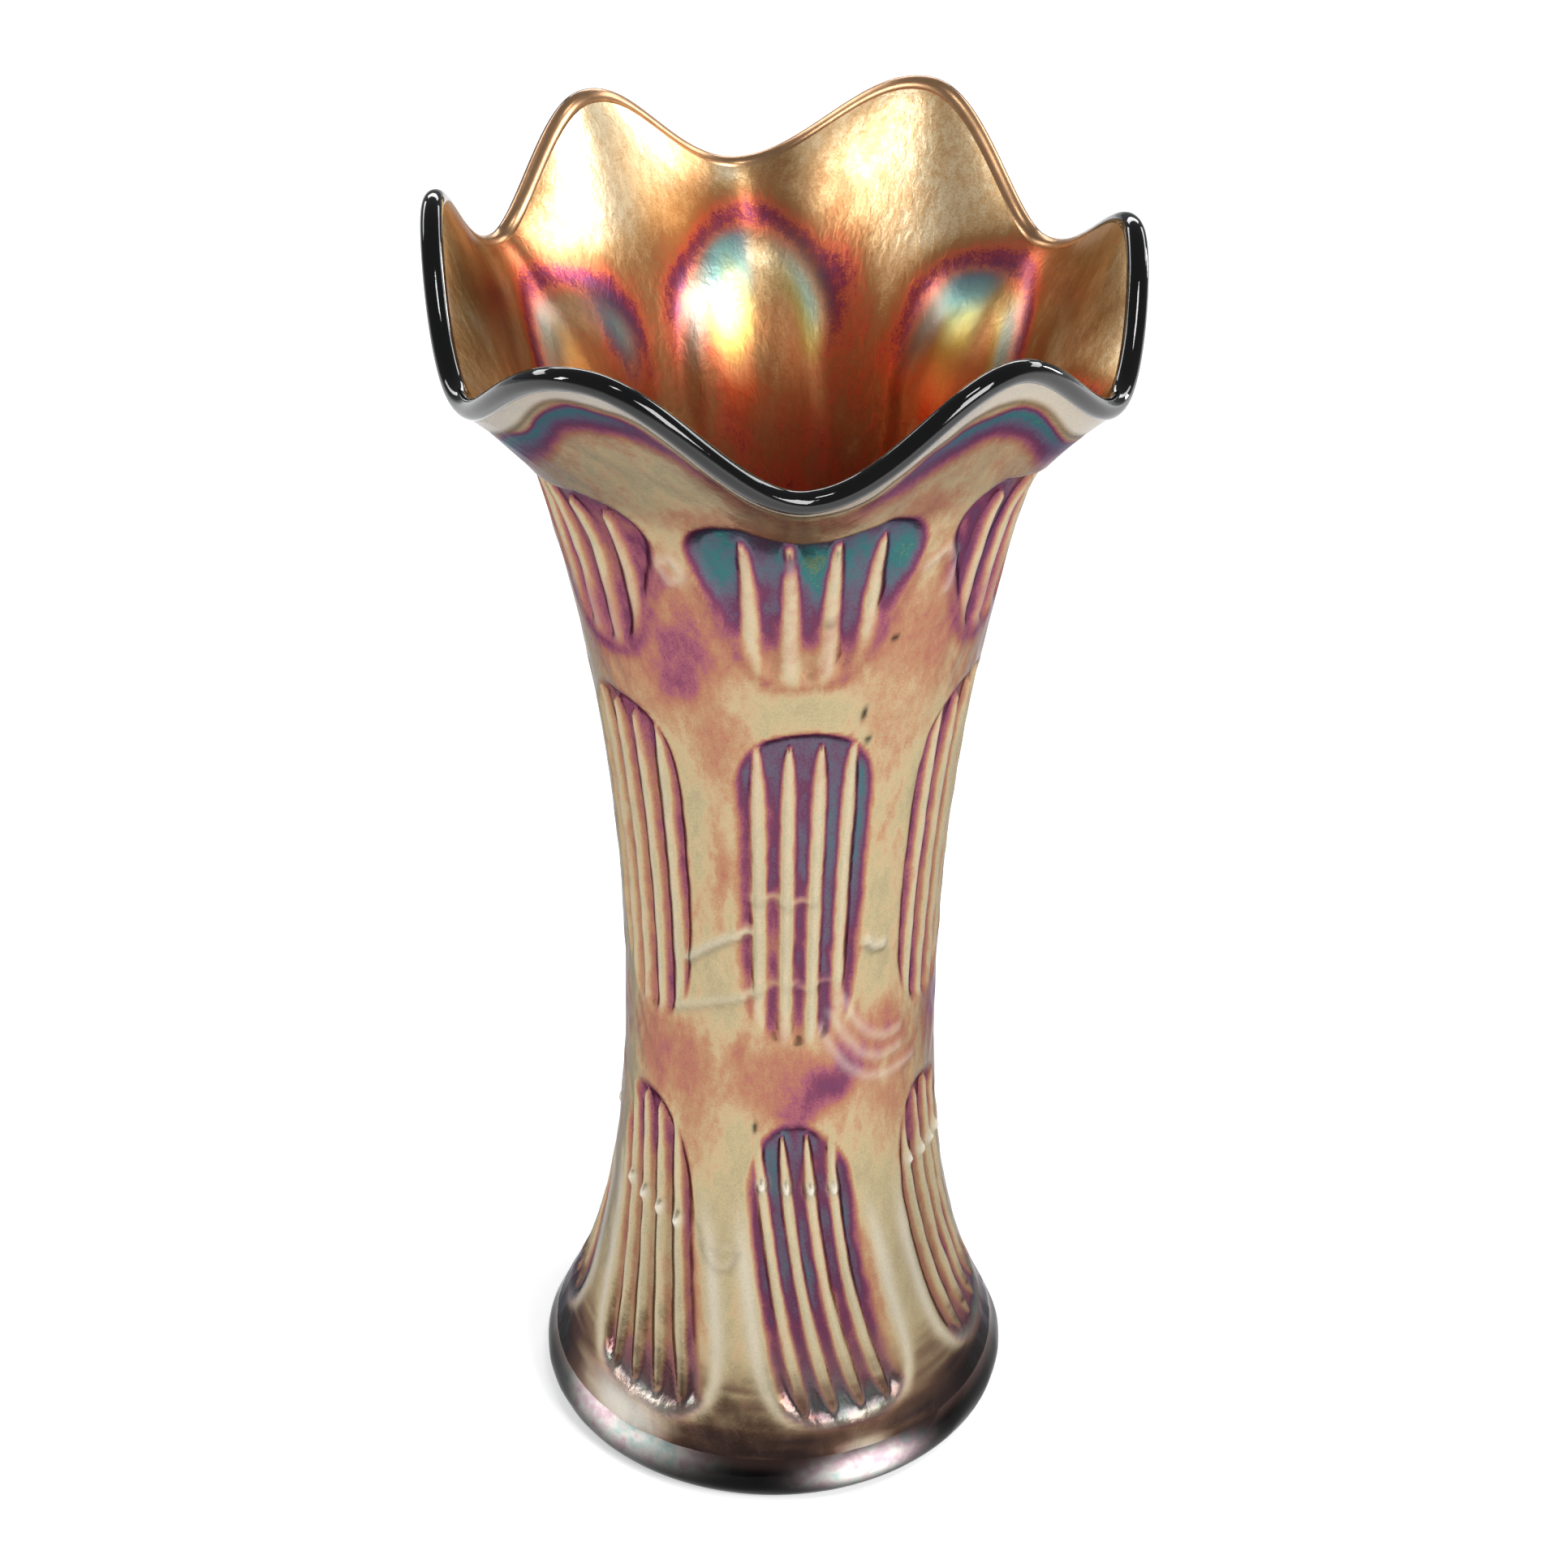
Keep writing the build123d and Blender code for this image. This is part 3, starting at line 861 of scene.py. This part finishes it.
def foot_material():
    """Dark glass with two patches of painted highlight, tinted in lustre colours, on its upper edge."""
    material, tree, shader = new_material("foot_dark_glass")
    cloud = noise(tree, 45, 5, 1.0)
    fine = noise(tree, 420, 3, 0.4)
    upper = attribute(tree, "upper")
    glint_breakup = maths(tree, "MULTIPLY_ADD", cloud, 1.6, 0.1, clamp=True)
    # a painted highlight in the patches, broken up by the noise
    lustre = maths(tree, "MULTIPLY", glint_breakup, attribute(tree, "lustre"), clamp=True)
    place = maths(tree, "MULTIPLY_ADD", fine, 0.5, maths(tree, "MULTIPLY", cloud, 0.6))
    rainbow = ramp(tree, place, FOOT_GLINT_COLOURS)
    brown = mixed(tree, upper, srgb(5, 4, 4), srgb(66, 50, 46))
    tree.links.new(mixed(tree, lustre, brown, rainbow), shader.inputs["Base Color"])
    metal = maths(tree, "MULTIPLY_ADD", lustre, -0.6, maths(tree, "MULTIPLY", upper, 0.85), clamp=True)
    tree.links.new(metal, shader.inputs["Metallic"])
    rough = maths(tree, "MULTIPLY_ADD", upper, 0.12, maths(tree, "MULTIPLY_ADD", cloud, 0.12, 0.06))
    tree.links.new(rough, shader.inputs["Roughness"])
    shader.inputs["IOR"].default_value = 1.14
    add_bump(tree, shader, fine, 0.06)
    return material


# ---------------------------------------------------------------- meshes
def add_piece(name, replaces, points, normals, groups, attributes, materials):
    """One closed mesh with given normals. Each group is (faces, material index, flat or not), and
    flat faces keep their own normals."""
    faces = [face for group, _, _ in groups for face in group]
    face_materials = [index for group, index, _ in groups for _ in group]
    flat_faces = np.array([flat for group, _, flat in groups for _ in group])
    mesh = bpy.data.meshes.new(name)
    mesh.from_pydata((points * METRES_PER_MM).tolist(), [], faces)
    mesh.polygons.foreach_set("use_smooth", [True] * len(mesh.polygons))
    mesh.polygons.foreach_set("material_index", face_materials)
    for key, values in attributes.items():
        layer = mesh.attributes.new(key, "FLOAT", "POINT")
        layer.data.foreach_set("value", np.asarray(values, np.float32))
    mesh.update()
    corner_vertex = np.zeros(len(mesh.loops), int)
    mesh.loops.foreach_get("vertex_index", corner_vertex)
    totals = np.zeros(len(mesh.polygons), int)
    mesh.polygons.foreach_get("loop_total", totals)
    own = np.zeros(len(mesh.polygons) * 3)
    mesh.polygons.foreach_get("normal", own)
    corner_face = np.repeat(np.arange(len(mesh.polygons)), totals)
    corner_normals = normals[corner_vertex]
    flat = flat_faces[corner_face]
    corner_normals[flat] = own.reshape(-1, 3)[corner_face][flat]
    mesh.normals_split_custom_set(corner_normals.tolist())
    for material in materials:
        mesh.materials.append(material)
    obj = bpy.data.objects.new(name, mesh)
    bpy.context.scene.collection.objects.link(obj)
    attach(obj, "root")
    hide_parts(replaces)


def grid_faces(first, rows, columns, flip=False):
    """Quads of a grid of rows that close on themselves; vertices are numbered row by row from first."""
    r, c = np.meshgrid(np.arange(rows - 1), np.arange(columns), indexing="ij")
    a = first + r * columns + c
    b = first + r * columns + (c + 1) % columns
    quads = np.stack([a, b, b + columns, a + columns], -1).reshape(-1, 4)
    return (quads[:, ::-1] if flip else quads).tolist()


def fan_faces(first, count, centre, flip=False):
    """Triangles from a closed ring of points to its centre."""
    faces = [[first + i, first + (i + 1) % count, centre] for i in range(count)]
    return [[b, a, c] for a, b, c in faces] if flip else faces


def strip_faces(outer_first, outer_count, inner_first, inner_count, upwards=True):
    """Closes the gap between an outer ring and an inner ring that may have fewer points."""
    share = outer_count // inner_count
    faces = []
    for i in range(inner_count):
        outer_part = [outer_first + (i * share + k) % outer_count for k in range(share + 1)]
        inner_part = [inner_first + (i + 1) % inner_count, inner_first + i]
        face = outer_part + inner_part
        faces.append(face if upwards else face[::-1])
    return faces


def column_angles(count):
    return np.arange(count) * 360.0 / count


cup_heights = np.linspace(FOOT_HEIGHT, MOUTH_JOINT_HEIGHT, OUTER_CUP_ROWS)
inner_cup_heights = np.linspace(FLOOR_HEIGHT + FLOOR_ROUNDING, MOUTH_JOINT_HEIGHT, INNER_CUP_ROWS)
neck_heights = np.linspace(MOUTH_JOINT_HEIGHT, FLARE_START, NECK_ROWS + 1)[1:]
flare_steps = np.linspace(0, 1, FLARE_ROWS + 1)[1:]
angles = column_angles(COLUMNS)


def shaped_side(radius_at, bead_side, heights, fields, outwards):
    """One side of the wall with its relief, normals and fields."""
    base = wall_grid(radius_at, bead_side, angles, heights, flare_steps)
    smooth_normals = grid_normals(base)
    height = base[..., 2]
    step = np.concatenate([np.zeros(len(heights)), flare_steps])[:, None] + 0 * height
    lengths = np.linalg.norm(np.diff(base, axis=0), axis=-1)
    below_lip = np.concatenate([np.cumsum(lengths[::-1], 0)[::-1], np.zeros((1, COLUMNS))])
    relief, *values = fields(angles[None, :] + 0 * height, height, step, below_lip)
    settle = ease((1 - step) / 0.06)
    points = base - smooth_normals * (relief * settle)[..., None]
    return points, grid_normals(points, flip=not outwards), values


outer, outer_normals, (film, shade, bare, painted_highlight) = shaped_side(
    outer_radius, BEAD_OPENING, np.append(cup_heights, neck_heights), outer_fields, True)
inner, inner_normals, (inner_film, inner_shade, inner_streak, inner_tone) = shaped_side(
    inner_radius, -BEAD_OPENING, np.append(inner_cup_heights, neck_heights), inner_fields, False)
WALL_FIELDS = {  # on the outside, on the inside, on the cup's floor
    "film": (film, inner_film, 0.4),
    # the cup's floor is half as dark: painted shade deep inside
    "shade": (shade, inner_shade, 0.5),
    "bare": (bare, 0 * inner_film, 0.0),
    "painted_highlight": (painted_highlight, 0 * inner_film, 0.0),
    "streak": (0 * film, inner_streak, 0.0),
    "tone": (0 * film, inner_tone, 0.0),
}

wall_materials = [
    lustre_material("lustre_outside", OUTSIDE_FILM, 0.88, 0.27, srgb(150, 152, 164)),
    lustre_material("lustre_inside", INSIDE_FILM, 0.85, 0.36, srgb(210, 180, 150), STREAK_TONES),
]


def wall_attributes(outer_rows, inner_rows, inner_skip=1, floor_points=0):
    """The fields of some rows of the wall, every inner_skip-th column inside, and of the floor."""
    attributes = {}
    for key, (on_outside, on_inside, on_floor) in WALL_FIELDS.items():
        outer_part = on_outside[outer_rows].ravel()
        inner_part = on_inside[inner_rows, ::inner_skip].ravel()
        attributes[key] = np.concatenate([outer_part, inner_part, np.full(floor_points, on_floor)])
    return attributes


def build_cup():
    """The cup: its outside, its coarser inside with a rounded floor, and the two flat closings."""
    outer_rows, inner_rows = slice(OUTER_CUP_ROWS), slice(INNER_CUP_ROWS)
    ring = CUP_INNER_COLUMNS
    skip = COLUMNS // ring
    floor_rings = []
    for rise, radius in FLOOR_RINGS:
        floor_rings.append(around(column_angles(ring), radius, FLOOR_HEIGHT + rise))
    floor_points = np.concatenate(floor_rings + [[[0, 0, FLOOR_HEIGHT]]])
    points = np.concatenate([
        outer[outer_rows].reshape(-1, 3),
        inner[inner_rows, ::skip].reshape(-1, 3),
        floor_points,
        [[0, 0, FOOT_HEIGHT]],
    ])
    normals = np.concatenate([
        outer_normals[outer_rows].reshape(-1, 3),
        inner_normals[inner_rows, ::skip].reshape(-1, 3),
        np.tile([0.0, 0.0, 1.0], (len(floor_points), 1)),
        [[0, 0, -1.0]],
    ])
    first_inner = OUTER_CUP_ROWS * COLUMNS
    first_floor = first_inner + INNER_CUP_ROWS * ring
    last_ring = first_floor + ring
    centre = last_ring + ring
    top_outer = first_inner - COLUMNS
    top_inner = first_floor - ring
    groups = [
        (grid_faces(0, OUTER_CUP_ROWS, COLUMNS), 0, False),
        (grid_faces(first_inner, INNER_CUP_ROWS, ring, flip=True), 1, False),
        (strip_faces(first_inner, ring, first_floor, ring), 1, False),
        (strip_faces(first_floor, ring, last_ring, ring), 1, False),
        (fan_faces(last_ring, ring, centre), 1, False),
        (strip_faces(top_outer, COLUMNS, top_inner, ring), 1, True),
        (fan_faces(0, COLUMNS, centre + 1, flip=True), 1, True),
    ]
    attributes = wall_attributes(outer_rows, inner_rows, skip, len(floor_points) + 1)
    add_piece("vase_body", "body", points, normals, groups, attributes, wall_materials)


def build_mouth():
    outer_rows, inner_rows = slice(OUTER_CUP_ROWS - 1, None), slice(INNER_CUP_ROWS - 1, None)
    rows = len(outer[outer_rows])
    count = rows * COLUMNS
    top = count - COLUMNS
    points = np.concatenate([outer[outer_rows].reshape(-1, 3), inner[inner_rows].reshape(-1, 3)])
    normals = np.concatenate([
        outer_normals[outer_rows].reshape(-1, 3),
        inner_normals[inner_rows].reshape(-1, 3),
    ])
    groups = [
        (grid_faces(0, rows, COLUMNS), 0, False),
        (grid_faces(count, rows, COLUMNS, flip=True), 1, False),
        (strip_faces(0, COLUMNS, count, COLUMNS, upwards=False), 1, True),
        (strip_faces(top, COLUMNS, count + top, COLUMNS), 1, True),
    ]
    attributes = wall_attributes(outer_rows, inner_rows)
    add_piece(
        "vase_mouth", "ruffled_mouth",
        points, normals, groups, attributes, wall_materials,
    )


def build_bead():
    """The lip: most of a round rod, closed where it meets the wall."""
    turns = np.linspace(BEAD_OPENING, 360 - BEAD_OPENING, BEAD_STEPS)
    ring_angles = column_angles(BEAD_COLUMNS)
    rows = np.stack([bead_point(ring_angles, np.full(ring_angles.shape, t)) for t in turns])
    normals = unit(rows - lip_point(ring_angles)[None])
    last = (BEAD_STEPS - 1) * BEAD_COLUMNS
    groups = [
        (grid_faces(0, BEAD_STEPS, BEAD_COLUMNS), 0, False),
        (strip_faces(last, BEAD_COLUMNS, 0, BEAD_COLUMNS), 0, True),
    ]
    at_back = ease((80 - np.abs(wrap(ring_angles - 183))) / 14)
    inner_face = ease((turns - 182) / 40)
    attributes = {"gild": (inner_face[:, None] * at_back[None, :]).ravel()}
    points = rows.reshape(-1, 3)
    normals = normals.reshape(-1, 3)
    add_piece("vase_lip", "lip_bead", points, normals, groups, attributes, [lip_material()])


def foot_outline():
    """Radius and height from the hollow underneath, round the edge and up to the wall's foot."""
    top_radius = float(outer_radius(FOOT_HEIGHT))
    points = [
        (FOOT_HOLLOW_RING, FOOT_HOLLOW_DEPTH),
        (FOOT_HOLLOW_RADIUS - FOOT_HOLLOW_DEPTH, FOOT_HOLLOW_DEPTH),
        (FOOT_HOLLOW_RADIUS, 0.0),
    ]
    for i in range(FOOT_EDGE_STEPS + 1):
        turn = math.pi / 2 * i / FOOT_EDGE_STEPS
        radius = FOOT_RADIUS - FOOT_EDGE_RADIUS + FOOT_EDGE_RADIUS * math.sin(turn)
        points.append((radius, FOOT_EDGE_RADIUS * (1 - math.cos(turn))))
    start = np.array([FOOT_RADIUS, FOOT_EDGE_RADIUS])
    end = np.array([top_radius, FOOT_HEIGHT])
    reach = np.linalg.norm(end - start)
    leave = np.array([0, 1.0]) * reach
    arrive = unit(np.array([float(outer_radius(FOOT_HEIGHT + 1)) - top_radius, 1.0])) * reach
    for i in range(1, FOOT_EDGE_STEPS + 1):
        points.append(tuple(hermite(i / FOOT_EDGE_STEPS, start, leave, end, arrive)))
    points.append((FOOT_TOP_RING, FOOT_HEIGHT))
    return points


def build_foot():
    """The solid foot, turned from its outline, with the slight unevenness of fire-polished glass."""
    ring_angles = column_angles(FOOT_COLUMNS)
    rows = []
    for radius, height in foot_outline():
        uneven = 0.10 * waves(51, ring_angles, height, 40, 12) * ease((height - 1) / 3) * (radius > 41)
        rows.append(around(ring_angles, radius - np.abs(uneven), height))
    grid = np.stack(rows)
    count = len(rows) * FOOT_COLUMNS
    points = np.concatenate([grid.reshape(-1, 3), [[0, 0, FOOT_HOLLOW_DEPTH], [0, 0, FOOT_HEIGHT]]])
    carried_on = grid.copy()
    carried_on[-1] = 2 * grid[-2] - grid[-3]
    normals = np.concatenate([grid_normals(carried_on).reshape(-1, 3), [[0, 0, -1.0], [0, 0, 1.0]]])
    quads = grid_faces(0, len(rows), FOOT_COLUMNS)
    underneath = 3 * FOOT_COLUMNS
    groups = [
        (quads[:underneath], 0, True),
        (quads[underneath:-FOOT_COLUMNS], 0, False),
        (quads[-FOOT_COLUMNS:], 0, True),
        (fan_faces(0, FOOT_COLUMNS, count, flip=True), 0, True),
        (fan_faces(count - FOOT_COLUMNS, FOOT_COLUMNS, count + 1), 0, True),
    ]
    point_angles = np.tile(ring_angles, len(rows))
    heights = grid[..., 2].ravel()
    glint_patches = np.zeros(count)
    for place in FOOT_GLINT_PATCHES:
        glint_patches = np.maximum(glint_patches, blob(point_angles, heights, place))
    attributes = {
        # where the foot's painted highlight lies
        "lustre": np.append(np.clip(1.5 * glint_patches, 0, 1), [0, 0]),
        "upper": np.append(ease((heights - 7.5) / 3), [0, 0]),
    }
    add_piece("vase_foot", "foot", points, normals, groups, attributes, [foot_material()])


build_foot()
build_cup()
build_mouth()
build_bead()


# ---------------------------------------------------------------- floor, lights, camera
def build_floor():
    mesh = bpy.data.meshes.new("floor")
    half = 12.0
    corners = [(-half, -half, 0), (half, -half, 0), (half, half, 0), (-half, half, 0)]
    mesh.from_pydata(corners, [], [(0, 1, 2, 3)])
    floor = bpy.data.objects.new("floor", mesh)
    bpy.context.scene.collection.objects.link(floor)
    material, tree, shader = new_material("floor_white")
    shader.inputs["Base Color"].default_value = (0.9, 0.9, 0.9, 1)
    shader.inputs["Roughness"].default_value = 0.8
    shader.inputs["Specular IOR Level"].default_value = 0.1
    shader.inputs["Emission Color"].default_value = (1, 1, 1, 1)
    shader.inputs["Emission Strength"].default_value = 0.36
    mesh.materials.append(material)


LIGHT_TARGET = Vector((0, 0, 0.14))
LIGHT_CENTRE_HEIGHT = 0.15
LIGHTS = (  # name, azimuth (0 towards the camera, 90 right), elevation, distance, size in metres, watts
    ("window_right", 42, 28, 1.6, (0.66, 0.8), 24),
    ("window_left", -72, 20, 1.6, (0.25, 0.5), 8),
    ("overhead", 25, 66, 1.7, (0.3, 0.2), 4),
    ("side_strip", 122, 9, 1.6, (0.14, 0.4), 5),
    ("behind", 180, 24, 1.6, (1.2, 0.3), 8),
    ("behind_left", -128, 24, 1.6, (1.0, 0.3), 7),
    ("behind_right", 128, 24, 1.6, (1.0, 0.3), 7),
)


def soft_light(name, azimuth, elevation, distance, size, watts):
    """An area light that faces the vase."""
    light = bpy.data.lights.new(name, "AREA")
    light.shape = "RECTANGLE"
    light.size, light.size_y = size
    light.energy = watts
    lamp = bpy.data.objects.new(name, light)
    bpy.context.scene.collection.objects.link(lamp)
    turn, climb = math.radians(azimuth), math.radians(elevation)
    level = distance * math.cos(climb)
    height = distance * math.sin(climb) + LIGHT_CENTRE_HEIGHT
    lamp.location = (level * math.sin(turn), -level * math.cos(turn), height)
    lamp.rotation_mode = "QUATERNION"
    lamp.rotation_quaternion = (LIGHT_TARGET - lamp.location).to_track_quat("-Z", "Y")


build_floor()
for light_settings in LIGHTS:
    soft_light(*light_settings)

world = bpy.data.worlds.new("studio")
bpy.context.scene.world = world
world.use_nodes = True
background = world.node_tree.nodes["Background"]
background.inputs["Color"].default_value = (0.92, 0.95, 1.0, 1)
background.inputs["Strength"].default_value = 0.24

camera_data = bpy.data.cameras.new("camera")
camera = bpy.data.objects.new("camera", camera_data)
bpy.context.scene.collection.objects.link(camera)
camera_data.sensor_width = 36.0
camera_data.lens = 84.0
camera_data.shift_x = 0.0068
camera.location = (0, -0.559038, 0.496207)
camera.rotation_euler = (math.radians(57.16), 0, 0)
bpy.context.scene.camera = camera
bpy.context.scene.view_settings.view_transform = "Standard"
